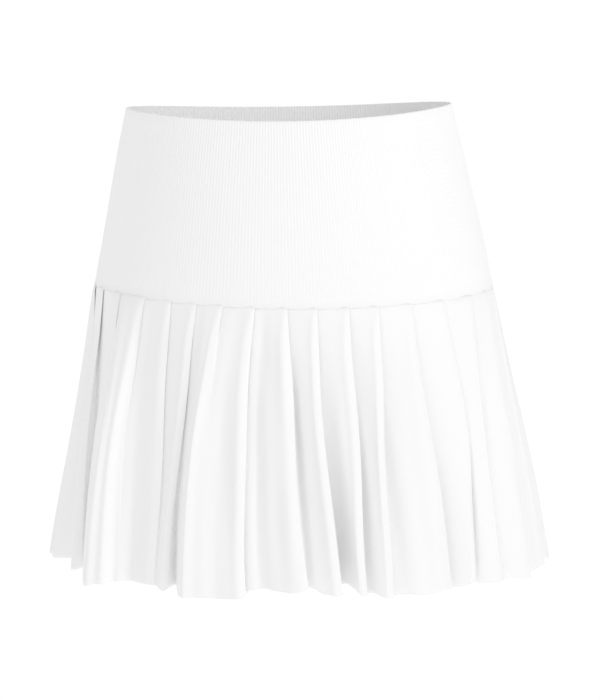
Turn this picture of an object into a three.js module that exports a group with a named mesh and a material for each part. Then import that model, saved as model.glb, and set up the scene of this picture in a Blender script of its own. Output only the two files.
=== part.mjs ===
// A pull-on tennis skirt, filled out as worn: a rib-knit yoke over a knife-pleated skirt.
// Millimetres, +Z up. The origin is the middle of the waist opening, where the wearer holds
// the skirt up. The front faces -Y, and every pleat folds towards the right of whoever faces it.
import * as THREE from 'three';

// ---- Cloth ----
const YOKE_WALL = 2;
const SKIRT_WALL = 1;
const SEAM_GAP = 0.3;

// ---- Body lines: the level rings that the cloth hangs through ----
// drop: how far the ring is below the waist
// halfWidth, halfDepth: the ring's ellipse across X and along Y
// dip: how much lower the line runs at centre front and centre back than at the sides
// lean: how much lower it runs at the +X side than at the middle
// drift: how far the ring's middle lies towards +X, because the skirt swings a little that way
const BODY_LINES = [
  { line: 'waist', drop: 0, halfWidth: 135.5, halfDepth: 94.5, dip: 7, lean: -2, drift: 0 },
  { line: 'high hip', drop: 50, halfWidth: 147, halfDepth: 103, dip: 6.8, lean: -0.8, drift: 1.2 },
  { line: 'low hip', drop: 100, halfWidth: 157.5, halfDepth: 111.7, dip: 6.3, lean: 0.4, drift: 2.5 },
  { line: 'seam', drop: 150, halfWidth: 167, halfDepth: 120.5, dip: 6, lean: 1.5, drift: 3.7 },
  { line: 'skirt middle', drop: 265, halfWidth: 189.5, halfDepth: 141.7, dip: 5.5, lean: 2, drift: 6.2 },
  { line: 'hem', drop: 380, halfWidth: 210, halfDepth: 163, dip: 5, lean: 2, drift: 8.8 },
];
const WAIST_DROP = 0;
const SEAM_DROP = 150;
const HEM_DROP = 380;
const YOKE_RINGS = 6;
const YOKE_STEPS = 24;
const SKIRT_SHARES = [0, 0.1, 0.26, 0.44, 0.62, 0.81, 1];

// ---- Pleats ----
// seam, mid, hem: where the fold edge lies on the seam line, the line half way down and the
//   hem line, measured along that line from the panel's centre, + to the right
// midDepth, hemDepth: how far the next pleat lies behind this fold edge, half way and at the hem
// under: width of cloth still turned under at the hem, negative once the fold has opened out
const FRONT_PLEATS = [
  { seam: -210, mid: -235, hem: -252, midDepth: 7, hemDepth: 8, under: 8 },
  { seam: -185, mid: -205, hem: -215, midDepth: 9, hemDepth: 9, under: 7 },
  { seam: -157, mid: -179, hem: -196, midDepth: 5, hemDepth: 6, under: 7 },
  { seam: -129, mid: -151, hem: -161, midDepth: 6, hemDepth: 3, under: -4 },
  { seam: -103, mid: -114, hem: -123, midDepth: 4, hemDepth: 5, under: 8 },
  { seam: -80, mid: -97, hem: -111, midDepth: 8, hemDepth: 6, under: 6 },
  { seam: -57, mid: -80, hem: -90, midDepth: 5, hemDepth: 3, under: -10 },
  { seam: -31, mid: -42, hem: -43, midDepth: 9, hemDepth: 15, under: 8 },
  { seam: -5, mid: 1, hem: 10, midDepth: 4, hemDepth: 3, under: -6 },
  { seam: 19, mid: 24, hem: 35, midDepth: 12, hemDepth: 13, under: 9 },
  { seam: 44, mid: 47, hem: 51, midDepth: 9, hemDepth: 8, under: 8 },
  { seam: 70, mid: 73, hem: 76, midDepth: 7, hemDepth: 9, under: 8 },
  { seam: 99, mid: 115, hem: 132, midDepth: 6, hemDepth: 5, under: 7 },
  { seam: 131, mid: 151, hem: 155, midDepth: 4, hemDepth: 7, under: 8 },
  { seam: 165, mid: 176, hem: 187, midDepth: 5, hemDepth: 4, under: -1 },
  { seam: 192, mid: 214, hem: 229, midDepth: 6, hemDepth: 8, under: 8 },
  { seam: 213, mid: 238, hem: 259, midDepth: 5, hemDepth: 6, under: 7 },
];
const BACK_PLEATS = [
  { seam: -210, mid: -250, hem: -289, midDepth: 6, hemDepth: 7, under: 8 },
  { seam: -184, mid: -214, hem: -246, midDepth: 8, hemDepth: 10, under: 8 },
  { seam: -157, mid: -186, hem: -213, midDepth: 5, hemDepth: 4, under: -5 },
  { seam: -131, mid: -151, hem: -166, midDepth: 7, hemDepth: 8, under: 8 },
  { seam: -105, mid: -129, hem: -148, midDepth: 6, hemDepth: 6, under: 7 },
  { seam: -79, mid: -90, hem: -103, midDepth: 9, hemDepth: 11, under: 8 },
  { seam: -52, mid: -66, hem: -76, midDepth: 5, hemDepth: 3, under: -8 },
  { seam: -26, mid: -29, hem: -29, midDepth: 7, hemDepth: 12, under: 9 },
  { seam: 1, mid: 1, hem: -2, midDepth: 6, hemDepth: 7, under: 8 },
  { seam: 27, mid: 33, hem: 44, midDepth: 4, hemDepth: 3, under: -5 },
  { seam: 53, mid: 62, hem: 66, midDepth: 10, hemDepth: 11, under: 8 },
  { seam: 80, mid: 88, hem: 98, midDepth: 6, hemDepth: 6, under: 8 },
  { seam: 106, mid: 128, hem: 149, midDepth: 8, hemDepth: 9, under: 7 },
  { seam: 133, mid: 153, hem: 168, midDepth: 4, hemDepth: 5, under: 7 },
  { seam: 160, mid: 186, hem: 209, midDepth: 6, hemDepth: 3, under: -4 },
  { seam: 187, mid: 214, hem: 246, midDepth: 7, hemDepth: 9, under: 8 },
  { seam: 214, mid: 255, hem: 299, midDepth: 6, hemDepth: 7, under: 8 },
];
const SEAM_UNDER = 11;
const LAYER = 1.45;
const EMERGE_SHARE = 0.06;
const BELLY_SHARE = 0.45;
const BELLY_ROUNDNESS = 1.6;
const OPEN_TURN = 0.3;
const VALLEY_SLACK = 0.3;

// ---- Finishes ----
const WHITE_RIB = { color: 0xf4f4f2, roughness: 0.85, metalness: 0 };
const WHITE_CLOTH = { color: 0xf7f7f6, roughness: 0.75, metalness: 0 };

const ARC_STEPS = 720;
const FULL_TURN = 2 * Math.PI;

/** Value at t between two numbers. */
function mix(a, b, t) {
  return a + (b - a) * t;
}

/** Smooth value at share t of the way down, through its values at the top, the middle and the foot. */
function through(top, middle, foot, t) {
  return top * (1 - t) * (1 - 2 * t) + 4 * middle * t * (1 - t) + foot * t * (2 * t - 1);
}

/** The body's level ring at one drop below the waist, which can be walked along by distance. */
class Ring {
  constructor(drop) {
    const below = Math.max(1, BODY_LINES.findIndex((row) => row.drop >= drop));
    const [upper, lower] = [BODY_LINES[below - 1], BODY_LINES[below]];
    const t = (drop - upper.drop) / (lower.drop - upper.drop);
    this.drop = drop;
    this.halfWidth = mix(upper.halfWidth, lower.halfWidth, t);
    this.halfDepth = mix(upper.halfDepth, lower.halfDepth, t);
    this.dip = mix(upper.dip, lower.dip, t);
    this.lean = mix(upper.lean, lower.lean, t);
    this.drift = mix(upper.drift, lower.drift, t);
    this.lengths = [0];
    for (let step = 1; step <= ARC_STEPS; step += 1) {
      const turn = ((step - 0.5) / ARC_STEPS) * FULL_TURN;
      const speed = Math.hypot(this.halfWidth * Math.cos(turn), this.halfDepth * Math.sin(turn));
      this.lengths.push(this.lengths[step - 1] + (speed * FULL_TURN) / ARC_STEPS);
    }
    this.length = this.lengths[ARC_STEPS];
  }

  /** The turn from centre front at a share of the way round, from 0 at centre front. */
  turnAt(share) {
    const whole = Math.floor(share);
    const distance = (share - whole) * this.length;
    const above = Math.max(1, this.lengths.findIndex((length) => length >= distance));
    const [before, after] = [this.lengths[above - 1], this.lengths[above]];
    const step = above - 1 + (distance - before) / (after - before);
    return (whole + step / ARC_STEPS) * FULL_TURN;
  }

  /** The point at a share of the way round, moved out from the ring. */
  pointAt(share, out) {
    const turn = this.turnAt(share);
    const normal = new THREE.Vector2(Math.sin(turn) / this.halfWidth, -Math.cos(turn) / this.halfDepth);
    normal.normalize();
    return new THREE.Vector3(
      this.drift + this.halfWidth * Math.sin(turn) + normal.x * out,
      -this.halfDepth * Math.cos(turn) + normal.y * out,
      -this.drop - this.dip * Math.cos(turn) ** 2 - this.lean * Math.sin(turn),
    );
  }
}

/** Both skins of a wall whose middle line runs through the given points of one ring. */
function skinsOf(middle, wall) {
  const flat = middle.map((point) => new THREE.Vector2(point.x, point.y));
  const sides = flat.slice(1).map((point, k) => {
    const along = point.clone().sub(flat[k]).normalize();
    return new THREE.Vector2(along.y, -along.x);
  });
  const skin = (reach) => middle.map((point, k) => {
    const before = sides[Math.max(0, k - 1)];
    const after = sides[Math.min(sides.length - 1, k)];
    const corner = before.clone().add(after).normalize();
    const mitre = corner.multiplyScalar(reach / Math.max(0.6, corner.dot(after)));
    return new THREE.Vector3(point.x + mitre.x, point.y + mitre.y, point.z);
  });
  return { outer: skin(wall / 2), inner: skin(-wall / 2) };
}

/** A closed wall lofted down through rings of outer and inner skin points. */
function wallGeometry(rings) {
  const count = rings[0].outer.length;
  const positions = rings.flatMap((ring) => [...ring.outer, ...ring.inner])
    .flatMap((point) => [point.x, point.y, point.z]);
  const outer = (ring, k) => ring * 2 * count + k;
  const inner = (ring, k) => ring * 2 * count + count + k;
  const faces = [];
  const quad = (a, b, c, d) => faces.push(a, b, c, a, c, d);
  const last = rings.length - 1;
  for (let ring = 0; ring < last; ring += 1) {
    for (let k = 0; k < count - 1; k += 1) {
      quad(outer(ring, k), outer(ring + 1, k), outer(ring + 1, k + 1), outer(ring, k + 1));
      quad(inner(ring, k), inner(ring, k + 1), inner(ring + 1, k + 1), inner(ring + 1, k));
    }
    quad(outer(ring, 0), inner(ring, 0), inner(ring + 1, 0), outer(ring + 1, 0));
    const end = count - 1;
    quad(outer(ring, end), outer(ring + 1, end), inner(ring + 1, end), inner(ring, end));
  }
  for (let k = 0; k < count - 1; k += 1) {
    quad(outer(0, k), outer(0, k + 1), inner(0, k + 1), inner(0, k));
    quad(outer(last, k), inner(last, k), inner(last, k + 1), outer(last, k + 1));
  }
  const geometry = new THREE.BufferGeometry();
  geometry.setAttribute('position', new THREE.Float32BufferAttribute(positions, 3));
  geometry.setIndex(faces);
  geometry.computeVertexNormals();
  return geometry;
}

/** A named piece of the skirt. */
function pieceOf(name, rings, finish) {
  const piece = new THREE.Mesh(wallGeometry(rings), new THREE.MeshStandardMaterial(finish));
  piece.name = name;
  return piece;
}

/** Half of the yoke, about the share of the way round that its middle lies at. */
function yokePanel(name, centre) {
  const rings = [];
  for (let row = 0; row < YOKE_RINGS; row += 1) {
    const ring = new Ring(mix(WAIST_DROP, SEAM_DROP, row / (YOKE_RINGS - 1)));
    const reach = 0.25 - SEAM_GAP / 2 / ring.length;
    const middle = [];
    for (let step = 0; step <= YOKE_STEPS; step += 1) {
      middle.push(ring.pointAt(centre + mix(-reach, reach, step / YOKE_STEPS), -YOKE_WALL / 2));
    }
    rings.push(skinsOf(middle, YOKE_WALL));
  }
  return pieceOf(name, rings, WHITE_RIB);
}

/** Every fold edge at share t of the way down the skirt, in order round the body. */
function foldsAt(t) {
  const middle = mix(SEAM_DROP, HEM_DROP, 0.5);
  const [seam, mid, hem] = [SEAM_DROP, middle, HEM_DROP].map((drop) => new Ring(drop).length);
  const fold = (centre) => (row) => ({
    at: centre + through(row.seam / seam, row.mid / mid, row.hem / hem, t),
    depth: through(2 * LAYER, row.midDepth, row.hemDepth, t),
    under: mix(SEAM_UNDER, row.under, t),
  });
  return [...FRONT_PLEATS.map(fold(0)), ...BACK_PLEATS.map(fold(0.5))];
}

/**
 * The middle line of the pleat between two fold edges, from the cloth turned under the first
 * one to the second one, as points [distance round the ring, distance out from it].
 * lift is how fast the pleat before the first edge falls away inwards behind that edge.
 */
function pleatLine(first, second, lift, ringLength) {
  const start = first.at * ringLength;
  const edge = second.at * ringLength;
  const hidden = Math.max(0, first.under);
  const opened = Math.max(0, -first.under);
  const from = start + opened;
  const width = edge - from;
  const slack = Math.max(VALLEY_SLACK, 2 * LAYER + lift * hidden - first.depth);
  const valley = first.depth + (hidden > 0 ? slack : 0);
  const turn = hidden > 0 ? LAYER : Math.min(LAYER, OPEN_TURN * first.depth);
  const out = (share) => -first.depth * ((1 - share) / (1 - EMERGE_SHARE)) ** BELLY_ROUNDNESS;
  return {
    under: [
      [start + OPEN_TURN * opened, -turn],
      [start - first.under - OPEN_TURN * opened, turn - valley],
      [start - first.under, -valley],
      [from + EMERGE_SHARE * width, out(EMERGE_SHARE)],
    ],
    belly: [from + BELLY_SHARE * width, out(BELLY_SHARE)],
    edge: [edge, 0],
    lift: -out(BELLY_SHARE) / ((1 - BELLY_SHARE) * width),
  };
}

/** Every pleat's middle line at share t of the way down, in order, and the first one again. */
function pleatLinesAt(t, ringLength) {
  const folds = foldsAt(t);
  const behind = { ...folds.at(-1), at: folds.at(-1).at - 1 };
  const ahead = { ...folds[0], at: folds[0].at + 1 };
  const edges = [behind, ...folds, ahead];
  const lines = [];
  for (let k = 1; k < edges.length; k += 1) {
    const lift = k > 1 ? lines[k - 2].lift : 0;
    lines.push(pleatLine(edges[k - 1], edges[k], lift, ringLength));
  }
  return lines;
}

/** A pleated panel between two side seams, which run down the bellies of the pleats there. */
function skirtPanel(name, first, count) {
  const rings = SKIRT_SHARES.map((t) => {
    const ring = new Ring(Math.max(SEAM_DROP + SEAM_GAP, mix(SEAM_DROP, HEM_DROP, t)));
    const lines = pleatLinesAt(t, ring.length).slice(first, first + count + 1);
    const [start, end] = [lines[0], lines.at(-1)];
    const line = [
      [start.belly[0] + SEAM_GAP / 2, start.belly[1]],
      start.edge,
      ...lines.slice(1, -1).flatMap((pleat) => [...pleat.under, pleat.belly, pleat.edge]),
      ...end.under,
      [end.belly[0] - SEAM_GAP / 2, end.belly[1]],
    ];
    const middle = line.map(([distance, out]) => ring.pointAt(distance / ring.length, out));
    return skinsOf(middle, SKIRT_WALL);
  });
  return pieceOf(name, rings, WHITE_CLOTH);
}

const skirt = new THREE.Group();
skirt.add(yokePanel('yoke_front', 0));
skirt.add(yokePanel('yoke_back', 0.5));
skirt.add(skirtPanel('skirt_front', 0, FRONT_PLEATS.length));
skirt.add(skirtPanel('skirt_back', FRONT_PLEATS.length, BACK_PLEATS.length));

export default skirt;
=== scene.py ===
"""A white pull-on tennis skirt: a rib-knit hip yoke over a knife-pleated skirt, filled out as worn."""

import logging
import math
from dataclasses import dataclass, field
from enum import Enum
from typing import NamedTuple

import bpy
import numpy as np
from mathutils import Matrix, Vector

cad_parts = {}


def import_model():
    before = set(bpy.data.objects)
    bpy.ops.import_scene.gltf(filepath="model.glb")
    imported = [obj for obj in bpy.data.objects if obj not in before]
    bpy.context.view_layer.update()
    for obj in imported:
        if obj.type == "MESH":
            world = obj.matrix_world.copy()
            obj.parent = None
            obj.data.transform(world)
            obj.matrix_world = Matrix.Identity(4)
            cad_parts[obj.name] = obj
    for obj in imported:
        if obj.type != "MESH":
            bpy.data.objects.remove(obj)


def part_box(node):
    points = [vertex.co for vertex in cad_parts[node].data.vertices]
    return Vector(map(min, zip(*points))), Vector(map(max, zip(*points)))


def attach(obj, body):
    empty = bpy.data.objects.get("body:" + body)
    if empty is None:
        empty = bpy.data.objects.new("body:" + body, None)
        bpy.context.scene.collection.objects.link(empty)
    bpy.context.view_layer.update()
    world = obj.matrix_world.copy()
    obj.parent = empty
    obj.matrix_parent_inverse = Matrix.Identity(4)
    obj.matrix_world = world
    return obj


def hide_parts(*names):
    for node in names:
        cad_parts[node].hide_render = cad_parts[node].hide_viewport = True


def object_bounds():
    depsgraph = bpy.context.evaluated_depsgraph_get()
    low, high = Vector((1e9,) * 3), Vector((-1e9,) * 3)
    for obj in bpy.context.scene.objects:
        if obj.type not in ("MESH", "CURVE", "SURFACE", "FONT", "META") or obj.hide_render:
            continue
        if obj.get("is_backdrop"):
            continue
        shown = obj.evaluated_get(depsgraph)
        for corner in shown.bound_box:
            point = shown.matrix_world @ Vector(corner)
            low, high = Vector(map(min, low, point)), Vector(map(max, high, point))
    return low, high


LOG = logging.getLogger("tennis_skirt")
MM = 0.001
HALF_TURN = math.pi
FULL_TURN = 2.0 * math.pi


# ---------------------------------------------------------------------------
# Small helpers
# ---------------------------------------------------------------------------


def linear_colour(hex_code: str) -> tuple[float, float, float, float]:
    """Turns an sRGB colour into the linear one that shaders take.

    Args:
        hex_code: The colour as six hex digits, such as "f4f4f2".

    Returns:
        Red, green, blue and an alpha of 1, linear.
    """
    parts = [int(hex_code[k:k + 2], 16) / 255.0 for k in (0, 2, 4)]
    linear = [c / 12.92 if c <= 0.04045 else ((c + 0.055) / 1.055) ** 2.4 for c in parts]
    return (linear[0], linear[1], linear[2], 1.0)


def mix(a: np.ndarray | float, b: np.ndarray | float, t: np.ndarray | float) -> np.ndarray | float:
    """Value at share t between a and b."""
    return a + (b - a) * t


def ease(t: np.ndarray) -> np.ndarray:
    """Smooth step of t from 0 to 1, held outside that range."""
    held = np.clip(t, 0.0, 1.0)
    return held * held * (3.0 - 2.0 * held)


def through(top: np.ndarray, middle: np.ndarray, foot: np.ndarray, t: np.ndarray) -> np.ndarray:
    """A smooth value through its values at the top, in the middle and at the foot.

    Args:
        top: Its value at the top.
        middle: Its value half way down.
        foot: Its value at the foot.
        t: Share of the way down.

    Returns:
        The value at t.
    """
    return (
        top * (1.0 - t) * (1.0 - 2.0 * t)
        + 4.0 * middle * t * (1.0 - t)
        + foot * t * (2.0 * t - 1.0)
    )


def smooth_line(x: np.ndarray, knots: np.ndarray, values: np.ndarray) -> np.ndarray:
    """A smooth curve through the knots, level in its bends where the values are.

    Args:
        x: Where the curve is read.
        knots: The places of the known values, rising.
        values: The known values.

    Returns:
        The curve's values at x.
    """
    slopes = np.gradient(values, knots)
    above = np.clip(np.searchsorted(knots, x), 1, len(knots) - 1)
    start, span = knots[above - 1], knots[above] - knots[above - 1]
    t = (x - start) / span
    rise = values[above] - values[above - 1]
    first, second = slopes[above - 1] * span, slopes[above] * span
    bend = t * (1.0 - t) * ((first - rise) * (1.0 - t) - (second - rise) * t)
    return values[above - 1] + rise * t + bend


def add_node(tree: bpy.types.NodeTree, kind: str, links: dict | None = None, **settings) -> bpy.types.Node:
    """Adds a shader node with its settings, input values and links.

    Args:
        tree: The material's node tree.
        kind: The node's type name.
        links: Input name or index to a value, or to the output socket that feeds it.
        **settings: The node's own properties.

    Returns:
        The new node.
    """
    node = tree.nodes.new(kind)
    for name, value in settings.items():
        setattr(node, name, value)
    for name, value in (links or {}).items():
        socket = node.inputs[name]
        if isinstance(value, bpy.types.NodeSocket):
            tree.links.new(value, socket)
        else:
            socket.default_value = value
    return node


# ---------------------------------------------------------------------------
# The worn form that the cloth hangs on
# ---------------------------------------------------------------------------


class BodyLine(NamedTuple):
    """A level ring of the worn form, in millimetres.

    Attributes:
        drop: How far the ring is below the waist.
        half_width: Half of the ring across X.
        half_depth: Half of the ring along Y.
        dip: How much lower the line runs at centre front and back than at the sides.
        lean: How much lower it runs at the +X side than at the middle.
        drift: How far the ring's middle lies towards +X.
    """

    drop: float
    half_width: float
    half_depth: float
    dip: float
    lean: float
    drift: float


BODY_LINES = (
    BodyLine(0.0, 135.5, 94.5, 7.0, -2.0, 0.0),
    BodyLine(50.0, 147.0, 103.0, 6.8, -0.8, 1.2),
    BodyLine(100.0, 157.5, 111.7, 6.3, 0.4, 2.5),
    BodyLine(150.0, 167.0, 120.5, 6.0, 1.5, 3.7),
    BodyLine(265.0, 189.5, 141.7, 5.5, 2.0, 6.2),
    BodyLine(380.0, 210.0, 163.0, 5.0, 2.0, 8.8),
)


@dataclass
class WornForm:
    """The worn form: rings from the waist down to the hem, with their level set by the frame.

    Attributes:
        waist_level: Height of the waist edge at the sides, in millimetres.
        seam_drop: How far the yoke seam is below the waist.
        hem_drop: How far the hem is below the waist.
        arc_steps: How many steps a ring's length is added up in.
    """

    waist_level: float
    seam_drop: float
    hem_drop: float
    arc_steps: int = 360

    def measure(self, name: str, drop: np.ndarray) -> np.ndarray:
        """One of a ring's sizes at each drop below the waist.

        Args:
            name: The size's name in the body lines.
            drop: Drops below the waist, in millimetres.

        Returns:
            The size at each drop.
        """
        knots = np.array([line.drop for line in BODY_LINES])
        values = np.array([getattr(line, name) for line in BODY_LINES])
        return smooth_line(drop, knots, values)

    def arc(self, width: float, depth: float) -> tuple[np.ndarray, np.ndarray]:
        """Adds up the length of one ring.

        Args:
            width: The ring's half width.
            depth: The ring's half depth.

        Returns:
            The turns round the ring from centre front, and its length up to each of them.
        """
        turns = np.linspace(0.0, FULL_TURN, self.arc_steps + 1)
        halves = (turns[1:] + turns[:-1]) / 2.0
        speed = np.hypot(width * np.cos(halves), depth * np.sin(halves))
        return turns, np.concatenate([[0.0], np.cumsum(speed * np.diff(turns))])

    def lengths(self, drop: np.ndarray) -> np.ndarray:
        """Works out how long the rings are.

        Args:
            drop: Drops below the waist, in millimetres.

        Returns:
            The length of the ring at each drop.
        """
        flat = np.atleast_1d(drop).ravel()
        widths, depths = self.measure("half_width", flat), self.measure("half_depth", flat)
        return np.array([self.arc(w, d)[1][-1] for w, d in zip(widths, depths)])

    def place(self, drop: np.ndarray, share: np.ndarray, out: np.ndarray) -> np.ndarray:
        """Points on the form, moved out from it.

        Args:
            drop: Each row's drop below the waist, in millimetres.
            share: Each point's share of the way round from centre front, a row for each drop.
            out: How far each point lies outside its ring, in millimetres.

        Returns:
            The points in millimetres, as an array of rows, columns and three coordinates.
        """
        width, depth = self.measure("half_width", drop), self.measure("half_depth", drop)
        turn = np.empty_like(share)
        for row in range(len(drop)):
            turns, lengths = self.arc(width[row], depth[row])
            whole = np.floor(share[row])
            turn[row] = np.interp((share[row] - whole) * lengths[-1], lengths, turns) + whole * FULL_TURN
        width, depth = width[:, None], depth[:, None]
        sine, cosine = np.sin(turn), np.cos(turn)
        across, along = sine / width, -cosine / depth
        size = np.hypot(across, along)
        dip, lean = self.measure("dip", drop)[:, None], self.measure("lean", drop)[:, None]
        return np.stack([
            self.measure("drift", drop)[:, None] + width * sine + out * across / size,
            -depth * cosine + out * along / size,
            self.waist_level - drop[:, None] - dip * cosine**2 - lean * sine,
        ], axis=-1)


# ---------------------------------------------------------------------------
# Pleats
# ---------------------------------------------------------------------------


class Fold(NamedTuple):
    """One knife pleat's fold edge, in millimetres.

    Attributes:
        seam: Where it lies on the seam line, from its panel's centre, + to the right.
        mid: Where it lies on the line half way down.
        hem: Where it lies on the hem line.
        mid_depth: How far the next pleat lies behind it half way down.
        hem_depth: How far the next pleat lies behind it at the hem.
        under: Width of cloth still turned under at the hem, negative once the fold has opened.
        crown: How far the face that ends at this fold swells at the hem.
        crest: Share of that face's width at which it swells most.
    """

    seam: float
    mid: float
    hem: float
    mid_depth: float
    hem_depth: float
    under: float
    crown: float
    crest: float


FRONT_FOLDS = (
    Fold(-210.0, -227.0, -253.0, 9.0, 10.0, -12.0, 2.0, 0.65),
    Fold(-185.0, -204.0, -209.0, 11.0, 20.0, 1.0, 2.5, 0.75),
    Fold(-157.0, -182.0, -200.0, 2.0, 0.4, -12.0, 1.2, 0.70),
    Fold(-129.0, -151.0, -161.0, 2.5, 1.2, -2.0, 1.8, 0.40),
    Fold(-103.0, -114.0, -123.0, 3.5, 3.0, -1.0, -2.2, 0.45),
    Fold(-80.0, -97.0, -111.0, 5.5, 14.0, -1.0, 1.0, 0.65),
    Fold(-57.0, -80.0, -90.0, 3.0, 1.2, -12.0, 2.0, 0.60),
    Fold(-31.0, -42.0, -43.0, 6.0, 4.0, 3.0, 2.5, 0.80),
    Fold(-5.0, -0.5, 6.0, 9.5, 7.0, 7.0, 2.0, 0.85),
    Fold(19.0, 24.0, 35.0, 14.0, 34.0, 9.0, 2.0, 0.85),
    Fold(45.0, 51.0, 55.5, 12.0, 11.0, 8.0, 1.5, 0.85),
    Fold(70.0, 74.0, 76.0, 9.0, 7.0, 8.0, 2.0, 0.75),
    Fold(99.0, 116.0, 132.0, 10.0, 11.0, 5.0, 3.0, 0.60),
    Fold(131.0, 151.0, 155.0, 4.0, 10.0, 8.0, 2.0, 0.50),
    Fold(165.0, 176.0, 187.0, 6.0, 7.0, 3.0, 2.0, 0.60),
    Fold(192.0, 214.0, 226.0, 7.0, 11.0, 8.0, 2.5, 0.60),
    Fold(213.0, 238.0, 259.0, 5.0, 6.0, 7.0, 2.0, 0.65),
)

BACK_FOLDS = (
    Fold(-210.0, -250.0, -289.0, 6.0, 7.0, 8.0, 2.0, 0.65),
    Fold(-184.0, -214.0, -246.0, 8.0, 12.0, 8.0, 2.5, 0.70),
    Fold(-157.0, -186.0, -213.0, 3.5, 2.0, -5.0, 2.0, 0.40),
    Fold(-131.0, -151.0, -166.0, 6.0, 6.0, 6.0, 3.0, 0.60),
    Fold(-105.0, -129.0, -148.0, 4.0, 5.0, 5.0, 1.5, 0.70),
    Fold(-79.0, -90.0, -103.0, 9.0, 13.0, 8.0, 3.0, 0.55),
    Fold(-52.0, -66.0, -76.0, 3.0, 1.5, -9.0, 2.0, 0.70),
    Fold(-26.0, -29.0, -29.0, 7.0, 12.0, 9.0, 3.0, 0.45),
    Fold(1.0, 1.0, -2.0, 5.0, 6.0, 6.0, 2.0, 0.65),
    Fold(27.0, 33.0, 44.0, 4.0, 2.0, -6.0, 3.0, 0.40),
    Fold(53.0, 62.0, 66.0, 10.0, 16.0, 8.0, 1.5, 0.70),
    Fold(80.0, 88.0, 98.0, 5.0, 6.0, 6.0, 2.0, 0.65),
    Fold(106.0, 128.0, 149.0, 7.0, 8.0, 7.0, 3.5, 0.50),
    Fold(133.0, 153.0, 168.0, 3.0, 4.0, 4.0, 1.5, 0.70),
    Fold(160.0, 186.0, 209.0, 4.0, 2.0, -5.0, 2.5, 0.45),
    Fold(187.0, 214.0, 246.0, 7.0, 10.0, 8.0, 2.5, 0.65),
    Fold(214.0, 255.0, 299.0, 5.0, 6.0, 7.0, 2.5, 0.60),
)


class Crease(NamedTuple):
    """A soft trough or ridge that runs down the cloth.

    Places are measured along the hem line from centre front, in millimetres.

    Attributes:
        top_at: Where it would lie at the seam.
        foot_at: Where it would lie at the hem.
        width: How far it spreads to each side, in millimetres.
        depth: How deep the trough is, in millimetres, negative for a ridge.
        start: Share of the way down at which it begins.
        full: Share of the way down at which it is deepest.
        end: Share of the way down at which it has died out, past 1 if it runs off the hem.
    """

    top_at: float
    foot_at: float
    width: float
    depth: float
    start: float
    full: float
    end: float


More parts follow.
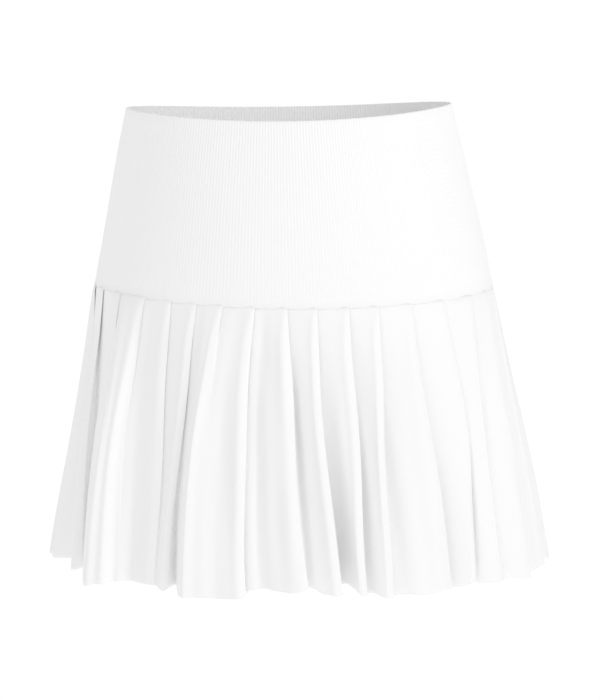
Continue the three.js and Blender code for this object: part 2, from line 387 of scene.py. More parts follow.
SKIRT_CREASES = (
    Crease(-190.0, -183.0, 14.0, -2.0, 0.10, 0.50, 1.6),
    Crease(-165.0, -172.0, 6.0, 1.8, 0.05, 0.30, 0.8),
    Crease(-152.0, -148.0, 8.0, 1.2, 0.40, 0.90, 1.6),
    Crease(-160.0, -126.0, 9.0, -1.3, 0.30, 0.60, 1.4),
    Crease(-117.0, -112.0, 4.0, -0.8, 0.30, 0.60, 1.2),
    Crease(-92.0, -98.0, 12.0, -2.0, 0.15, 0.50, 1.7),
    Crease(-72.0, -54.0, 8.0, 2.0, 0.20, 0.65, 1.4),
    Crease(-33.0, -28.0, 5.0, -2.4, 0.12, 0.40, 1.5),
    Crease(-26.0, -16.0, 5.0, 1.3, 0.45, 0.75, 1.4),
    Crease(-14.0, -8.0, 6.0, -1.7, 0.02, 0.22, 0.6),
    Crease(-14.0, -6.0, 5.0, -1.3, 0.50, 0.80, 1.4),
    Crease(-6.5, 7.5, 3.2, 2.8, 0.12, 0.45, 1.3),
    Crease(10.0, 20.0, 6.0, 0.9, 0.25, 0.60, 1.2),
    Crease(38.0, 46.0, 4.5, -1.8, 0.20, 0.50, 1.6),
    Crease(32.0, 42.0, 4.0, 4.0, 0.45, 0.85, 1.8),
    Crease(61.0, 65.0, 5.0, -2.0, 0.20, 0.50, 1.6),
    Crease(82.0, 87.0, 4.5, 2.0, 0.20, 0.60, 1.3),
    Crease(94.0, 98.0, 5.0, -1.1, 0.55, 1.00, 1.7),
    Crease(107.0, 110.0, 6.0, 1.6, 0.30, 0.70, 1.5),
    Crease(122.0, 127.0, 5.0, 1.5, 0.45, 0.90, 1.6),
    Crease(172.0, 170.0, 6.0, -2.0, 0.15, 0.50, 1.4),
    Crease(214.0, 184.0, 4.5, 3.6, 0.20, 0.50, 1.2),
    Crease(228.0, 234.0, 4.0, -1.2, 0.20, 0.60, 1.3),
    Crease(229.0, 231.0, 4.0, 2.6, 0.45, 0.80, 1.8),
    Crease(260.0, 266.0, 4.5, 2.2, 0.45, 0.85, 1.8),
    Crease(291.0, 288.0, 7.0, -1.4, 0.40, 0.80, 1.4),
    Crease(318.0, 322.0, 10.0, -1.8, 0.15, 0.55, 1.3),
    Crease(352.0, 347.0, 7.0, 1.4, 0.30, 0.80, 1.6),
    Crease(381.0, 388.0, 6.0, 1.5, 0.45, 0.75, 1.1),
    Crease(409.0, 404.0, 9.0, -1.7, 0.20, 0.65, 1.4),
    Crease(446.0, 452.0, 7.0, 1.7, 0.35, 0.85, 1.6),
    Crease(470.0, 474.0, 5.0, -1.1, 0.05, 0.30, 0.8),
    Crease(498.0, 492.0, 10.0, -1.6, 0.30, 0.70, 1.5),
    Crease(531.0, 538.0, 6.0, 1.5, 0.40, 0.90, 1.7),
    Crease(566.0, 560.0, 8.0, -1.3, 0.10, 0.45, 1.1),
    Crease(597.0, 604.0, 7.0, 1.8, 0.25, 0.70, 1.4),
    Crease(628.0, 624.0, 6.0, -1.2, 0.50, 0.85, 1.6),
    Crease(655.0, 662.0, 9.0, 1.5, 0.15, 0.60, 1.3),
    Crease(690.0, 684.0, 8.0, -1.7, 0.35, 0.75, 1.5),
    Crease(721.0, 726.0, 6.0, 1.3, 0.45, 0.90, 1.6),
    Crease(752.0, 747.0, 7.0, -1.3, 0.05, 0.40, 0.9),
    Crease(779.0, 786.0, 9.0, 1.7, 0.30, 0.65, 1.3),
    Crease(812.0, 808.0, 7.0, -1.2, 0.40, 0.80, 1.5),
    Crease(845.0, 851.0, 8.0, 1.5, 0.20, 0.60, 1.4),
    Crease(884.0, 880.0, 9.0, -1.5, 0.30, 0.75, 1.5),
    Crease(926.0, 928.0, 5.0, 3.0, 0.20, 0.50, 1.8),
)


class HemPlace(NamedTuple):
    """How the hem hangs at one place, in millimetres.

    Attributes:
        at: Where along the hem line from centre front.
        rise: How much higher than level it hangs, negative where it hangs lower.
        swing: How far it swings forward, to -Y, of the worn form.
    """

    at: float
    rise: float
    swing: float


HEM_PLACES = (
    HemPlace(-231.0, 5.0, 0.0),
    HemPlace(-222.0, -1.0, 0.0),
    HemPlace(-213.0, 1.0, 0.0),
    HemPlace(-205.0, 6.0, 0.0),
    HemPlace(-197.0, -0.6, 42.0),
    HemPlace(-177.0, 1.7, 27.0),
    HemPlace(-161.0, 3.2, 12.0),
    HemPlace(-147.0, 3.3, 2.0),
    HemPlace(-125.0, 3.0, 0.0),
    HemPlace(-113.0, 0.0, 0.0),
    HemPlace(-108.0, 4.0, 1.5),
    HemPlace(-101.0, -2.0, 9.0),
    HemPlace(-84.0, -1.2, 6.0),
    HemPlace(-66.0, -2.0, 0.0),
    HemPlace(-48.0, -1.0, 0.0),
    HemPlace(-41.0, 5.5, 0.0),
    HemPlace(-30.0, 7.0, -6.0),
    HemPlace(-17.0, 6.0, 0.0),
    HemPlace(-8.0, 5.3, 0.0),
    HemPlace(9.0, 8.5, 0.0),
    HemPlace(21.0, 3.8, 0.0),
    HemPlace(33.0, 2.6, 0.0),
    HemPlace(41.0, 8.0, 0.0),
    HemPlace(46.0, 6.0, 0.0),
    HemPlace(50.0, 2.2, 0.0),
    HemPlace(62.0, 3.2, 0.0),
    HemPlace(67.0, 0.5, 0.0),
    HemPlace(76.0, -1.0, 0.0),
    HemPlace(84.0, 1.0, 0.0),
    HemPlace(109.0, -0.4, 0.0),
    HemPlace(122.0, 1.9, 0.0),
    HemPlace(137.0, 1.3, 0.0),
    HemPlace(156.0, 4.9, 0.0),
    HemPlace(162.0, 1.6, 3.0),
    HemPlace(195.0, 1.2, 3.0),
    HemPlace(217.0, -1.7, 7.0),
    HemPlace(232.0, -1.2, 7.0),
    HemPlace(246.0, 1.0, 0.0),
    HemPlace(270.0, 3.0, 0.0),
    HemPlace(293.0, -2.5, 0.0),
    HemPlace(330.0, 1.0, 0.0),
    HemPlace(346.0, 6.0, 0.0),
    HemPlace(366.0, -1.5, 0.0),
    HemPlace(402.0, 2.0, 0.0),
    HemPlace(430.0, -2.0, 0.0),
    HemPlace(450.0, 5.5, 0.0),
    HemPlace(472.0, 1.0, 0.0),
    HemPlace(505.0, -3.0, 0.0),
    HemPlace(536.0, 4.0, 0.0),
    HemPlace(562.0, 7.5, 0.0),
    HemPlace(578.0, -1.0, 0.0),
    HemPlace(603.0, 2.5, 0.0),
    HemPlace(640.0, -2.0, 0.0),
    HemPlace(661.0, 6.0, 0.0),
    HemPlace(688.0, 0.0, 0.0),
    HemPlace(722.0, 3.5, 0.0),
    HemPlace(748.0, -2.5, 0.0),
    HemPlace(787.0, 5.0, 0.0),
    HemPlace(806.0, -0.5, 0.0),
    HemPlace(850.0, 4.5, 0.0),
    HemPlace(880.0, -2.0, 0.0),
    HemPlace(918.0, 2.0, 0.0),
)


class Point(Enum):
    """The points that shape one pleat's section, in order, with how finely each bend is drawn."""

    TURN = (0, 3)
    VALLEY_IN = (1, 2)
    VALLEY = (2, 2)
    EMERGE = (3, 3)
    BELLY = (4, 4)
    SWELL = (5, 4)
    SHOULDER = (6, 4)
    EDGE = (7, 4)

    @property
    def steps(self) -> int:
        """How many steps the bend round this point takes."""
        return self.value[1]


@dataclass
class PleatedSkirt:
    """The pleated skirt: one sheet folded into knife pleats all round, cut at the side seams.

    Lengths are in millimetres.

    Attributes:
        form: The worn form that it hangs on.
        rows: How many rows of points run down from the seam to the hem.
        seam_under: Width of cloth turned under each fold at the seam.
        seam_layer: Distance between folded layers at the seam.
        hem_layer: Distance between folded layers at the hem.
        seam_depth: How far each pleat lies behind the fold before it at the seam.
        tuck: How far the top edge reaches up behind the yoke.
        wall: The cloth's thickness.
        hem_width: Width of the turned hem.
        hem_gap: How far the turned cloth lies behind the face.
        hem_rows: How many rows the turned hem has.
        emerge_share: Share of a face's width at which it comes out from under the fold before it.
        belly_share: Share of a face's width at its second shaping point.
        swell_share: Share of a face's width at its third shaping point.
        bend: How sharply a face climbs near the fold before it, at the seam and the hem, 1 for evenly.
        open_turn: Share of an opened fold's width at which its slope begins and ends.
        opening: How late the folds open on the way down, 1 for evenly.
        tuck_blend: Width of turned-under cloth from which a fold lies flat.
        wander: How far the folds wander sideways on the way down.
        puff: How far the pleats swell out below the seam.
        puff_by: Share of the way down in which that has mostly grown from nothing.
        set_back: How far the pleats' top edge lies behind the yoke's face.
        roll_by: Share of the way down by which the fold edges have rolled open.
        edge_roll: Width of the rolled fold edge at the seam and the hem.
        edge_drop: How far the fold edge rolls back at the seam and the hem.
        kick: How far the cloth stands up just before the rolled edge, at the seam and the hem.
        kick_by: Share of the way down in which that has mostly grown from nothing.
        grid: The whole folded sheet's points, worked out when the skirt is made.
        cloth_at: Each point's place on the flat cloth, worked out with the grid.
    """

    form: WornForm
    rows: int = 92
    seam_under: float = 11.0
    seam_layer: float = 0.25
    hem_layer: float = 0.85
    seam_depth: float = 0.95
    tuck: float = 1.5
    wall: float = 0.45
    hem_width: float = 20.0
    hem_gap: float = 0.95
    hem_rows: int = 5
    emerge_share: float = 0.05
    belly_share: float = 0.3
    swell_share: float = 0.64
    bend: tuple[float, float] = (0.9, 1.8)
    open_turn: float = 0.3
    opening: float = 0.35
    tuck_blend: float = 3.0
    wander: float = 1.1
    puff: float = 1.0
    puff_by: float = 0.01
    set_back: float = 0.1
    roll_by: float = 0.14
    edge_roll: tuple[float, float] = (2.8, 6.0)
    edge_drop: tuple[float, float] = (0.4, 2.2)
    kick: tuple[float, float] = (1.3, 0.8)
    kick_by: float = 0.025
    grid: np.ndarray = field(init=False)
    cloth_at: np.ndarray = field(init=False)

    def __post_init__(self) -> None:
        """Works out the whole sheet's grid of points."""
        shares = np.linspace(0.0, 1.0, self.rows)
        self.grid, self.cloth_at = self.sheet(shares)

    def folds_at(self, t: np.ndarray) -> dict[str, np.ndarray]:
        """Every fold's place and sizes.

        Args:
            t: Shares of the way down from the seam to the hem.

        Returns:
            The folds' share of the way round and each of their sizes, with a row for each t.
        """
        middle = (self.form.seam_drop + self.form.hem_drop) / 2.0
        drops = np.array([self.form.seam_drop, middle, self.form.hem_drop])
        seam, mid, hem = self.form.lengths(drops)
        folds = [(0.0, fold) for fold in FRONT_FOLDS] + [(0.5, fold) for fold in BACK_FOLDS]
        column = t[:, None]

        def row(name: str) -> np.ndarray:
            """One of the folds' sizes, in order round the skirt."""
            return np.array([getattr(fold, name) for _, fold in folds])[None, :]

        centres = np.array([centre for centre, _ in folds])[None, :]
        phase = 0.37 * np.arange(len(folds))[None, :]
        wander = self.wander / hem * ease(column * 3.0) * np.sin(FULL_TURN * (1.2 * column + phase))
        place = through(row("seam") / seam, row("mid") / mid, row("hem") / hem, column)
        return {
            "at": centres + place + wander,
            "depth": through(self.seam_depth, row("mid_depth"), row("hem_depth"), column),
            "under": mix(self.seam_under, row("under"), column**self.opening),
            "crown": row("crown") * ease(column * 1.3) + 0.3,
            "bend": np.broadcast_to(mix(*self.bend, ease(column)), (len(t), len(folds))),
            "crest": np.broadcast_to(math.log(0.5) / np.log(row("crest")), (len(t), len(folds))),
        }

    def face(self, share: np.ndarray | float, sizes: dict[str, np.ndarray]) -> np.ndarray:
        """How far out the pleats' faces lie, 0 on their own fold edge.

        Args:
            share: Share of the face's width, from the fold before it.
            sizes: The depth, crown, crest and bend of each face.

        Returns:
            The distance out of the worn form, in millimetres.
        """
        fall = ((1.0 - share) / (1.0 - self.emerge_share)) ** sizes["bend"]
        swell = sizes["crown"] * np.sin(HALF_TURN * np.clip(share, 0.0, 1.0) ** sizes["crest"])
        return swell - sizes["depth"] * fall

    def shaping_points(self, t: np.ndarray, lengths: np.ndarray) -> np.ndarray:
        """The points that shape every pleat's section.

        Args:
            t: Each row's share of the way down.
            lengths: Each row's ring length.

        Returns:
            Distance round the ring and distance out of it, for each row, pleat and point.
        """
        folds = self.folds_at(t)
        ring = lengths[:, None]
        edge = folds["at"] * ring
        start = np.roll(edge, 1, axis=1)
        start[:, 0] -= lengths
        under = np.roll(folds["under"], 1, axis=1)
        hidden, opened = np.maximum(0.0, under), np.maximum(0.0, -under)
        tucked = ease(hidden / self.tuck_blend)
        layer = mix(self.seam_layer, self.hem_layer, t)[:, None]
        grown = ease(t / self.roll_by)
        drop = np.minimum(mix(*self.edge_drop, grown)[:, None], 0.5 * folds["depth"])
        drop_before = np.roll(drop, 1, axis=1)
        depth = np.maximum(np.roll(folds["depth"], 1, axis=1), drop_before + 2.0 * layer * tucked)
        begin = start + opened
        width = edge - begin
        roll = np.minimum(mix(*self.edge_roll, grown)[:, None], 0.3 * width)
        sizes = {"depth": depth, "crown": folds["crown"], "crest": folds["crest"], "bend": folds["bend"]}
        before = {name: np.roll(size, 1, axis=1) for name, size in sizes.items()}
        covered = np.clip(hidden / np.roll(width, 1, axis=1), 0.0, 0.9)
        above = self.face(1.0 - covered, before)
        valley = depth + tucked * np.maximum(0.3, 2.0 * layer - above - depth)
        turn = drop_before + mix(0.3 * (depth - drop_before), layer, tucked)
        pairs = [
            (start + self.open_turn * opened, -turn),
            (start - under - self.open_turn * opened, -mix(mix(turn, valley, 0.7), valley - layer, tucked)),
            (start - under, -valley),
        ]
        for share in (self.emerge_share, self.belly_share, self.swell_share):
            pairs.append((begin + share * width, self.face(share, sizes)))
        shoulder = 1.0 - roll / width
        started = 1.0 - np.exp(-np.maximum(t, 0.0) / self.kick_by)
        kicked = self.face(shoulder, sizes) + (mix(*self.kick, t) * started)[:, None]
        pairs.append((begin + shoulder * width, kicked))
        pairs.append((edge, -drop))
        return np.stack([np.stack(pair, axis=-1) for pair in pairs], axis=2)

    def section(self, t: np.ndarray, lengths: np.ndarray) -> np.ndarray:
        """Smooth closed sections through the shaping points.

        Args:
            t: Each row's share of the way down.
            lengths: Each row's ring length.

        Returns:
            Distance round the ring and distance out of it, for each row and point.
        """
        points = self.shaping_points(t, lengths)
        rows, pleats, kinds, _ = points.shape
        line = points.reshape(rows, pleats * kinds, 2)
        before, after = np.roll(line, 1, axis=1), np.roll(line, -1, axis=1)
        before[:, 0, 0] -= lengths
        after[:, -1, 0] += lengths
        pieces = []
        for index in range(pleats * kinds):
            steps = list(Point)[index % kinds].steps
            for step in range(steps):
                u = step / steps
                pieces.append(
                    0.5 * (1.0 - u) ** 2 * before[:, index]
                    + (0.5 + u - u * u) * line[:, index]
                    + 0.5 * u * u * after[:, index]
                )
        return np.stack(pieces, axis=1)

    def creases(self, t: np.ndarray, share: np.ndarray) -> np.ndarray:
        """How far the soft creases move the cloth.

        Args:
            t: Each row's share of the way down.
            share: Each point's share of the way round from centre front.

        Returns:
            How far each point moves out, in millimetres.
        """
        hem = self.form.lengths(np.array([self.form.hem_drop]))[0]
        moved = np.zeros_like(share)
        for crease in SKIRT_CREASES:
            at = mix(crease.top_at, crease.foot_at, t)[:, None] / hem
            gap = (share - at + 0.5) % 1.0 - 0.5
            grown = ease((t - crease.start) / (crease.full - crease.start))
            left = 1.0 - ease((t - crease.full) / (crease.end - crease.full))
            moved -= crease.depth * (grown * left)[:, None] * np.exp(-((gap * hem / crease.width) ** 2))
        sway = np.sin(FULL_TURN * (7.0 * share + 0.9 * t[:, None]))
        ripple = np.sin(FULL_TURN * (31.0 * share - 1.3 * t[:, None] + 0.3))
        return moved + t[:, None] * (0.8 * sway + 0.3 * ripple)

    def hang(self, t: np.ndarray, share: np.ndarray) -> np.ndarray:
        """How far the cloth is drawn up and swung forward, most at the hem.

        Args:
            t: Each row's share of the way down.
            share: Each point's share of the way round from centre front.

        Returns:
            How far each point moves along the three axes, in millimetres.
        """
        hem = self.form.lengths(np.array([self.form.hem_drop]))[0]
        first = HEM_PLACES[0]
        here, below = self.folds_at(t)["at"], self.folds_at(np.ones(1))["at"][0]
        below = np.concatenate([below[-1:] - 1.0, below, below[:1] + 1.0])
        here = np.concatenate([here[:, -1:] - 1.0, here, here[:, :1] + 1.0], axis=1)
        followed = np.stack([np.interp(row, knots, below) for row, knots in zip(share, here)])
        at = (followed * hem - first.at) % hem
        knots = np.array([place.at for place in HEM_PLACES] + [first.at + hem]) - first.at
        after = np.clip(np.searchsorted(knots, at, side="right"), 1, len(knots) - 1)
        along = ease((at - knots[after - 1]) / (knots[after] - knots[after - 1]))
        moved = np.zeros(share.shape + (3,))
        for axis, name, power in ((2, "rise", 3.0), (1, "swing", 0.6)):
            sizes = np.array([getattr(place, name) for place in HEM_PLACES + (first,)])
            moved[:, :, axis] = mix(sizes[after - 1], sizes[after], along) * t[:, None] ** power
        return moved * np.array([1.0, -1.0, 1.0])

    def sheet(self, t: np.ndarray) -> tuple[np.ndarray, np.ndarray]:
        """The folded sheet.

        Args:
            t: Each row's share of the way down.

        Returns:
            The points, and each one's place on the flat cloth, in millimetres.
        """
        drop = mix(self.form.seam_drop - self.tuck, self.form.hem_drop, t)
        lengths = self.form.lengths(drop)
        section = self.section(t, lengths)
        share = section[:, :, 0] / lengths[:, None]
        bulge = self.puff * (1.0 - np.exp(-t / self.puff_by)) * (1.0 - t) ** 3 - self.set_back
        out = section[:, :, 1] + self.creases(t, share) + bulge[:, None]
        points = self.form.place(drop, share, out)
        points += self.hang(np.clip(t, 0.0, 1.0), share)
        steps = np.linalg.norm(np.diff(points, axis=1), axis=2)
        across = np.concatenate([np.zeros((len(t), 1)), np.cumsum(steps, axis=1)], axis=1)
        falls = np.linalg.norm(np.diff(points, axis=0), axis=2).mean(axis=1)
        down = np.concatenate([[0.0], np.cumsum(falls)])
        return points, np.stack([across, np.broadcast_to(down[:, None], across.shape)], axis=-1)

    def belly_column(self, pleat: int) -> int:
        """The column of the grid that runs down a pleat's belly.

        Args:
            pleat: Number of the pleat, counted round the skirt.

        Returns:
            The column's number.
        """
        kinds = list(Point)
        per_pleat = sum(kind.steps for kind in kinds)
        return pleat * per_pleat + sum(kind.steps for kind in kinds[:Point.BELLY.value[0]])

    def build(self, name: str, first: int, last: int) -> bpy.types.Object:
        """One panel, from the belly of its first pleat to the belly of the pleat after its last.

        Args:
            name: The piece's name.
            first: Number of the first pleat, counted round the skirt.
            last: Number of the pleat after the last.

        Returns:
            The panel's object.
        """
        total = len(FRONT_FOLDS) + len(BACK_FOLDS)
        count = self.grid.shape[1]
        start, end = self.belly_column(first), self.belly_column(last % total)
        end += count * (last // total)
        columns = np.arange(start, end + 1) % count
        points, cloth = self.grid[:, columns], self.cloth_at[:, columns]
        wrapped = np.arange(start, end + 1) >= count
        cloth = cloth + np.where(wrapped, self.cloth_at[:, -1:, 0], 0.0)[:, :, None] * np.array([1.0, 0.0])
        points, cloth = self.turn_hem(points, cloth)
        return cloth_object(name, points, cloth, self.wall)

    def turn_hem(self, points: np.ndarray, cloth: np.ndarray) -> tuple[np.ndarray, np.ndarray]:
        """Adds the hem that is turned up behind the face.

        Args:
            points: The panel's points.
            cloth: Their places on the flat cloth.

        Returns:
            The points and places with the turned hem's rows after the others.
        """
        across = np.gradient(points, axis=1)
        down = np.gradient(points, axis=0)
        normal = np.cross(down, across)
        normal /= np.linalg.norm(normal, axis=2, keepdims=True)
        row_fall = np.linalg.norm(down[-1], axis=-1).mean()
        reach = int(round(self.hem_width / row_fall))
        picks = np.linspace(len(points) - 1, len(points) - 1 - reach, self.hem_rows + 1)
        picks = np.round(picks).astype(int)
        roll = points[-1] - normal[-1] * self.hem_gap * 0.5 + down[-1] / row_fall * self.hem_gap * 0.35
        turned = points[picks] - normal[picks] * self.hem_gap
        hem_cloth = cloth[picks].copy()
        hem_cloth[:, :, 1] = 2.0 * cloth[-1, :, 1] - hem_cloth[:, :, 1]
        return np.concatenate([points, roll[None], turned]), np.concatenate([cloth, cloth[-1:], hem_cloth])


# ---------------------------------------------------------------------------
# The yoke
# ---------------------------------------------------------------------------


@dataclass
class RibYoke:
    """The rib-knit yoke: a doubled tube with a rolled top edge, in two halves.

    Lengths are in millimetres.

    Attributes:
        form: The worn form that it hangs on.
        rib_width: Distance from one rib to the next, half way down.
        rib_height: How far a rib stands out of its groove at the waist, and stretched flatter at the seam.
        rib_steps: Points across one rib.
        rows: Rows of points down the outside.
        rim_rows: Rows of points over the top edge.
        inner_rows: Rows of points down the inside.
        wall: Thickness of the doubled knit.
        seam_gap: Gap at the side seams.
    """

    form: WornForm
    rib_width: float = 2.6
    rib_height: tuple[float, float] = (0.36, 0.14)
    rib_steps: int = 6
    rows: int = 34
    rim_rows: int = 5
    inner_rows: int = 12
    wall: float = 1.7
    seam_gap: float = 0.15

    def profile(self) -> tuple[np.ndarray, np.ndarray]:
        """The yoke's section from the seam up over the top edge and down the inside.

        Returns:
            Each row's drop below the waist, and how far it lies out of the form.
        """
        drop_out = mix(self.form.seam_drop, 0.8, np.linspace(0.0, 1.0, self.rows) ** 0.9)
        turns = np.linspace(0.15, 0.85, self.rim_rows) * HALF_TURN
        drop_rim = 0.85 - 0.85 * np.sin(turns)
        out_rim = -self.wall / 2.0 + self.wall / 2.0 * np.cos(turns)
        drop_in = mix(0.8, self.form.seam_drop, np.linspace(0.0, 1.0, self.inner_rows) ** 1.1)
        out_in = np.full(self.inner_rows, -self.wall)
        drop_foot = np.array([self.form.seam_drop + 0.5] * 2)
        out_foot = np.array([-self.wall * 0.6, 0.3])
        drop = np.concatenate([drop_out, drop_rim, drop_in, drop_foot])
        out = np.concatenate([np.zeros(self.rows), out_rim, out_in, out_foot])
        return drop, out

    def build(self, name: str, centre: float) -> bpy.types.Object:
        """One half of the yoke.

        Args:
            name: The piece's name.
            centre: The share of the way round that its middle lies at.

        Returns:
            The half's object.
        """
        drop, out = self.profile()
        lengths = self.form.lengths(drop)
        middle = self.form.lengths(np.array([self.form.seam_drop / 2.0]))[0]
        ribs = int(round(middle / 2.0 / self.rib_width))
        across = np.linspace(-0.25, 0.25, ribs * self.rib_steps + 1)[None, :] * np.ones((len(drop), 1))
        across *= 1.0 - 2.0 * self.seam_gap / lengths[:, None]
        share = centre + across
        wave = np.cos(FULL_TURN * 2.0 * ribs * across)
        height = mix(*self.rib_height, drop / self.form.seam_drop)[:, None]
        rib = height * (np.abs(wave) ** 0.8 * np.sign(wave) - 1.0) / 2.0
        seam = ease((self.form.seam_drop - drop) / 4.0)[:, None]
        facing = np.sign(out + self.wall / 2.0)[:, None]
        points = self.form.place(drop, share, out[:, None] + rib * facing * seam + self.sway(drop, share))
        place = np.stack([share * middle, np.broadcast_to(drop[:, None], share.shape)], axis=-1)
        half = cloth_object(name, points, place, 0.0, looped=True)
        # Faces down the inside take the second material: a darker copy of the knit that paints the shade
        # inside the yoke.
        inside = np.zeros(len(half.data.polygons), dtype=np.int32)
        columns = share.shape[1] - 1
        rim = self.rows + self.rim_rows - 1
        inside[rim * columns:(rim + self.inner_rows) * columns] = 1
        half.data.polygons.foreach_set("material_index", inside)
        return half

    def sway(self, drop: np.ndarray, share: np.ndarray) -> np.ndarray:
        """Soft unevenness of the stretched knit, none at the seam.

        Args:
            drop: Each row's drop below the waist, in millimetres.
            share: Each point's share of the way round from centre front.

        Returns:
            How far each point moves out, in millimetres.
        """
        free = ease((self.form.seam_drop - drop) / 40.0)[:, None]
        wide = np.sin(FULL_TURN * (3.0 * share + 0.004 * drop[:, None]))
        short = np.sin(FULL_TURN * (8.0 * share - 0.006 * drop[:, None] + 0.2))
        return free * (0.5 * wide + 0.2 * short)


def cloth_object(
    name: str, points: np.ndarray, cloth: np.ndarray, wall: float, looped: bool = False
) -> bpy.types.Object:
    """Makes a mesh object from a grid of points.

    Args:
        name: The object's name.
        points: The grid in millimetres, rows by columns, outer face to the front.
        cloth: Each point's place on the flat cloth, in millimetres.
        wall: Thickness to give the sheet, or 0 to leave it as it is.
        looped: Whether the last row joins the first, with the ends closed.

    Returns:
        The object, linked into the scene.
    """
    rows, columns, _ = points.shape
    index = np.arange(rows * columns).reshape(rows, columns)
    lines = np.concatenate([index, index[:1]]) if looped else index
    corners = [lines[:-1, :-1], lines[1:, :-1], lines[1:, 1:], lines[:-1, 1:]]
    quads = np.stack(corners, axis=-1).reshape(-1, 4)
    faces = quads.tolist()
    if looped:
        faces += [index[:, 0][::-1].tolist(), index[:, -1].tolist()]
    mesh = bpy.data.meshes.new(name)
    mesh.from_pydata((points.reshape(-1, 3) * MM).tolist(), [], faces)
    layer = mesh.uv_layers.new(name="cloth")
    corners = np.empty(len(mesh.loops), dtype=np.int32)
    mesh.loops.foreach_get("vertex_index", corners)
    layer.data.foreach_set("uv", (cloth.reshape(-1, 2)[corners] * MM).ravel())
    mesh.shade_smooth()
    piece = bpy.data.objects.new(name, mesh)
    bpy.context.scene.collection.objects.link(piece)
    if wall > 0.0:
        thicken(piece, wall)
    return piece


def thicken(piece: bpy.types.Object, wall: float) -> None:
    """Gives a sheet its thickness, inwards, and keeps the result as its mesh.

    Args:
        piece: The sheet.
        wall: The thickness, in millimetres.
    """
    solidify = piece.modifiers.new("wall", "SOLIDIFY")
    solidify.thickness = wall * MM
    solidify.offset = -1.0
    evaluated = piece.evaluated_get(bpy.context.evaluated_depsgraph_get())
    solid = bpy.data.meshes.new_from_object(evaluated)
    piece.modifiers.clear()
    piece.data = solid
    solid.shade_smooth()


# ---------------------------------------------------------------------------
# Finishes
# ---------------------------------------------------------------------------


@dataclass(frozen=True)
class RibKnit:
    """Cotton and elastane fine rib, knitted and bleached: matt white, with soft fibres on its face.

    Attributes:
        name: The material's name.
        colour: The bleached yarn.
        shade: The colour where the yarn lies looser and less light gets out again.
        roughness: Spun yarn scatters light almost evenly.
        sheen: Loose fibre ends catch a little light at the edges.
        stitch: Height of one knit stitch, in millimetres.
    """

    name: str = "cotton_elastane_rib_knit_bleached"
    colour: str = "fbfbfb"
    shade: str = "f9f9f9"
    roughness: float = 0.85
    sheen: float = 0.12
    stitch: float = 1.3

    def build(self) -> bpy.types.Material:
        """Makes the material.

        Returns:
            The new material.
        """
        material = bpy.data.materials.new(self.name)
        material.use_nodes = True
        tree = material.node_tree
        shader = tree.nodes["Principled BSDF"]
        place = add_node(tree, "ShaderNodeUVMap", uv_map="cloth")
        stitches = 1.0 / (self.stitch * MM)
        rows = add_node(
            tree, "ShaderNodeMapping",
            {"Vector": place.outputs["UV"], "Scale": (stitches * 0.5, stitches, 1.0)},
        )
        loops = add_node(
            tree, "ShaderNodeTexVoronoi",
            {"Vector": rows.outputs["Vector"], "Scale": 1.0, "Randomness": 0.35}, feature="SMOOTH_F1",
        )
        fuzz = add_node(
            tree, "ShaderNodeTexNoise", {"Vector": rows.outputs["Vector"], "Scale": 0.12, "Detail": 4.0},
        )
        tone = add_node(
            tree, "ShaderNodeMix",
            {0: fuzz.outputs["Fac"], 6: linear_colour(self.shade), 7: linear_colour(self.colour)},
            data_type="RGBA",
        )
        bump = add_node(
            tree, "ShaderNodeBump",
            {"Height": loops.outputs["Distance"], "Strength": 0.25, "Distance": 0.1 * MM}, invert=True,
        )
        tree.links.new(tone.outputs[2], shader.inputs["Base Color"])
        tree.links.new(bump.outputs["Normal"], shader.inputs["Normal"])
        shader.inputs["Roughness"].default_value = self.roughness
        shader.inputs["Sheen Weight"].default_value = self.sheen
        shader.inputs["Sheen Roughness"].default_value = 0.5
        shader.inputs["Specular IOR Level"].default_value = 0.25
        return material


# At this scale the wave texture repeats about once to each unit of its vector, here one thread.
ONE_WAVE = 0.32


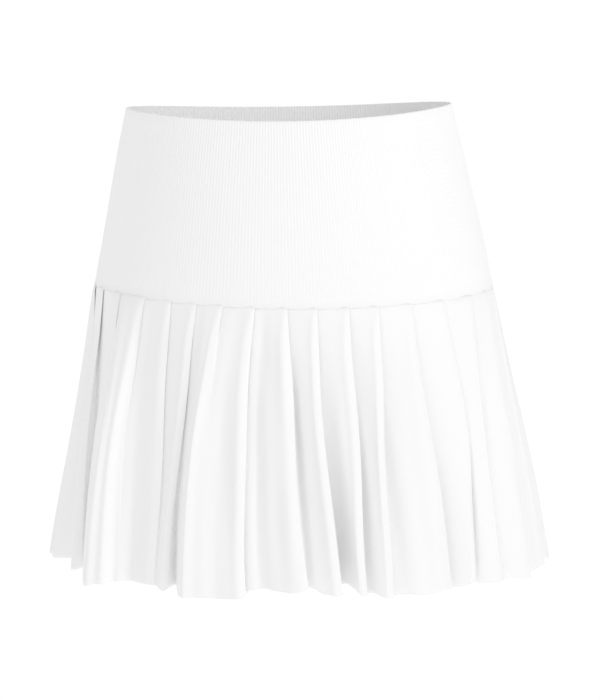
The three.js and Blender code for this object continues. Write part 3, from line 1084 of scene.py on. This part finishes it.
@dataclass(frozen=True)
class PleatingCloth:
    """Polyester pleating cloth, closely woven, heat set and bleached: smooth white with a faint sheen.

    Attributes:
        colour: The bleached filament yarn.
        shade: The slightly greyer streaks where yarns bunch.
        roughness: Filament yarn is smoother than spun yarn, so the light gathers a little.
        sheen: A pressed face catches a little light at the edges.
        thread: Thread spacing in millimetres, drawn three times as coarse as woven so that it shows.
        streaks: How many streaks there are to a metre of cloth, across and along.
    """

    colour: str = "fafafa"
    shade: str = "f8f8f8"
    roughness: float = 0.62
    sheen: float = 0.15
    thread: float = 0.75
    streaks: tuple[float, float] = (160.0, 12.0)

    def build(self) -> bpy.types.Material:
        """Makes the material.

        Returns:
            The new material.
        """
        material = bpy.data.materials.new("polyester_pleating_cloth_bleached")
        material.use_nodes = True
        tree = material.node_tree
        shader = tree.nodes["Principled BSDF"]
        place = add_node(tree, "ShaderNodeUVMap", uv_map="cloth")
        threads = 1.0 / (self.thread * MM)
        grid = add_node(
            tree, "ShaderNodeMapping", {"Vector": place.outputs["UV"], "Scale": (threads, threads, 1.0)},
        )
        warp = add_node(
            tree, "ShaderNodeTexWave",
            {"Vector": grid.outputs["Vector"], "Scale": ONE_WAVE, "Distortion": 0.6},
            wave_type="BANDS", bands_direction="X",
        )
        weft = add_node(
            tree, "ShaderNodeTexWave",
            {"Vector": grid.outputs["Vector"], "Scale": ONE_WAVE, "Distortion": 0.6},
            wave_type="BANDS", bands_direction="Y",
        )
        weave = add_node(
            tree, "ShaderNodeMath", {0: warp.outputs["Fac"], 1: weft.outputs["Fac"]}, operation="ADD",
        )
        stretched = add_node(
            tree, "ShaderNodeMapping", {"Vector": place.outputs["UV"], "Scale": (*self.streaks, 1.0)},
        )
        slubs = add_node(
            tree, "ShaderNodeTexNoise", {"Vector": stretched.outputs["Vector"], "Scale": 1.0, "Detail": 3.0},
        )
        tone = add_node(
            tree, "ShaderNodeMix",
            {0: slubs.outputs["Fac"], 6: linear_colour(self.shade), 7: linear_colour(self.colour)},
            data_type="RGBA",
        )
        bump = add_node(
            tree, "ShaderNodeBump",
            {"Height": weave.outputs["Value"], "Strength": 0.12, "Distance": 0.05 * MM},
        )
        tree.links.new(tone.outputs[2], shader.inputs["Base Color"])
        tree.links.new(bump.outputs["Normal"], shader.inputs["Normal"])
        shader.inputs["Roughness"].default_value = self.roughness
        shader.inputs["Sheen Weight"].default_value = self.sheen
        shader.inputs["Sheen Roughness"].default_value = 0.4
        shader.inputs["Specular IOR Level"].default_value = 0.35
        return material


# ---------------------------------------------------------------------------
# Studio
# ---------------------------------------------------------------------------


@dataclass(frozen=True)
class StudioWhite:
    """A stand-in for a brightly lit white ground: it gives off even light and takes no shadow.

    Attributes:
        colour: The colour of the light that it gives off.
        glow: The strength of that light.
    """

    colour: str = "ffffff"
    glow: float = 1.03

    def build(self) -> bpy.types.Material:
        """Makes the material.

        Returns:
            The new material.
        """
        material = bpy.data.materials.new("painted_board_matt_white")
        material.use_nodes = True
        shader = material.node_tree.nodes["Principled BSDF"]
        shader.inputs["Base Color"].default_value = (0.0, 0.0, 0.0, 1.0)
        shader.inputs["Roughness"].default_value = 1.0
        shader.inputs["Specular IOR Level"].default_value = 0.0
        shader.inputs["Emission Color"].default_value = linear_colour(self.colour)
        shader.inputs["Emission Strength"].default_value = self.glow
        return material


@dataclass(frozen=True)
class Lamp:
    """A soft studio light.

    Attributes:
        name: The lamp's name.
        place: Where it stands, in metres from the skirt's middle.
        size: Width of its square face, in metres.
        power: Its power in watts.
    """

    name: str
    place: tuple[float, float, float]
    size: float
    power: float


@dataclass
class Studio:
    """The floor, the light and the camera.

    Lengths are in metres.

    Attributes:
        low: The skirt's lowest corner.
        high: The skirt's highest corner.
        floor_below: How far below the hem the floor lies, as under a standing wearer.
        floor_size: Width of the floor.
        sky: Strength of the even light from all round.
        flagged: Strength of the even light from straight to the right, where a flag stands.
        camera_distance: From the camera to the point it aims at.
        camera_rise: How far the camera looks down, in degrees.
        aim: Where it aims, from the middle of the skirt's box.
        lens: Focal length in millimetres, with the long side of the picture as 36 mm.
        lamps: The soft lamps.
    """

    low: Vector
    high: Vector
    floor_below: float = 0.5
    floor_size: float = 80.0
    sky: float = 0.76
    flagged: float = 0.3
    camera_distance: float = 2.728
    camera_rise: float = 7.96
    aim: tuple[float, float, float] = (0.0, 0.0, -0.0145)
    lens: float = 166.6
    lamps: tuple[Lamp, ...] = (
        Lamp("key_right_front", (2.05, -1.6, 1.1), 1.2, 20.0),
    )

    @property
    def middle(self) -> Vector:
        """The middle of the skirt's box."""
        return (self.low + self.high) / 2.0

    def lay_floor(self) -> None:
        """Lays the plain white floor."""
        half = self.floor_size / 2.0
        corners = [(-half, -half, 0.0), (half, -half, 0.0), (half, half, 0.0), (-half, half, 0.0)]
        mesh = bpy.data.meshes.new("studio_floor")
        mesh.from_pydata(corners, [], [(0, 1, 2, 3)])
        mesh.materials.append(StudioWhite().build())
        floor = bpy.data.objects.new("studio_floor", mesh)
        floor.location.z = self.low.z - self.floor_below
        bpy.context.scene.collection.objects.link(floor)
        floor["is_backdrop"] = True

    def light(self) -> None:
        """Sets up the even light, dimmed at the right as by a flag, and the soft lamps."""
        world = bpy.data.worlds.new("studio_light")
        world.use_nodes = True
        tree = world.node_tree
        sky = tree.nodes["Background"]
        sky.inputs["Color"].default_value = (1.0, 1.0, 1.0, 1.0)
        place = add_node(tree, "ShaderNodeTexCoord")
        side = add_node(tree, "ShaderNodeSeparateXYZ", {0: place.outputs["Generated"]})
        flag = add_node(
            tree, "ShaderNodeMapRange",
            {
                "Value": side.outputs["X"], "From Min": 0.4, "From Max": 1.0,
                "To Min": self.sky, "To Max": self.flagged,
            },
            interpolation_type="SMOOTHSTEP",
        )
        tree.links.new(flag.outputs["Result"], sky.inputs["Strength"])
        bpy.context.scene.world = world
        for lamp in self.lamps:
            data = bpy.data.lights.new(lamp.name, "AREA")
            data.size = lamp.size
            data.energy = lamp.power
            light = bpy.data.objects.new(lamp.name, data)
            light.location = self.middle + Vector(lamp.place)
            light.rotation_euler = (-Vector(lamp.place)).to_track_quat("-Z", "Y").to_euler()
            bpy.context.scene.collection.objects.link(light)

    def stand_camera(self) -> None:
        """Stands the camera in front, a little above the skirt's middle."""
        rise = math.radians(self.camera_rise)
        back = Vector((0.0, -math.cos(rise), math.sin(rise)))
        data = bpy.data.cameras.new("camera")
        data.lens = self.lens
        data.sensor_width = 36.0
        camera = bpy.data.objects.new("camera", data)
        camera.location = self.middle + Vector(self.aim) + back * self.camera_distance
        camera.rotation_mode = "QUATERNION"
        camera.rotation_quaternion = (-back).to_track_quat("-Z", "Y")
        bpy.context.scene.collection.objects.link(camera)
        bpy.context.scene.camera = camera

    def build(self) -> None:
        """Builds the whole studio."""
        self.lay_floor()
        self.light()
        self.stand_camera()
        bpy.context.scene.view_settings.view_transform = "Standard"


# ---------------------------------------------------------------------------
# The skirt
# ---------------------------------------------------------------------------


def dress(piece: bpy.types.Object, finishes: list[bpy.types.Material], node: str) -> None:
    """Gives a piece its finishes and puts it in its node's place.

    Args:
        piece: The piece.
        finishes: Its materials, in the order of its faces' material numbers.
        node: The CAD node that it stands for.
    """
    for finish in finishes:
        piece.data.materials.append(finish)
    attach(piece, "root")
    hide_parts(node)
    LOG.info("%s: %d faces", piece.name, len(piece.data.polygons))


def main() -> None:
    """Builds the skirt, piece by piece, and its studio."""
    logging.basicConfig(level=logging.INFO, format="%(name)s: %(message)s")
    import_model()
    cad_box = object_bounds()
    yoke_low, yoke_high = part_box("yoke_front")
    skirt_low, skirt_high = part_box("skirt_front")
    waist = BODY_LINES[0]
    form = WornForm(
        waist_level=yoke_high.z / MM + waist.lean,
        seam_drop=BODY_LINES[3].drop,
        hem_drop=BODY_LINES[-1].drop,
    )
    Studio(*cad_box).build()

    rib_knit, pleating_cloth = RibKnit().build(), PleatingCloth().build()
    # A darker copy of the knit for the yoke's inside faces: painted shade, because less light reaches the
    # inside.
    painted_shade_knit = RibKnit("cotton_elastane_rib_knit_painted_shade_inside", colour="f3f3f3", shade="f0f0f0").build()
    yoke = RibYoke(form)
    for node, centre in (("yoke_front", 0.0), ("yoke_back", 0.5)):
        half = yoke.build(f"{node}_knit", centre)
        dress(half, [rib_knit, painted_shade_knit], node)

    skirt = PleatedSkirt(form)
    front = len(FRONT_FOLDS)
    for node, first, last in (("skirt_front", 0, front), ("skirt_back", front, front + len(BACK_FOLDS))):
        panel = skirt.build(f"{node}_cloth", first, last)
        dress(panel, [pleating_cloth], node)


if __name__ == "__main__":
    main()
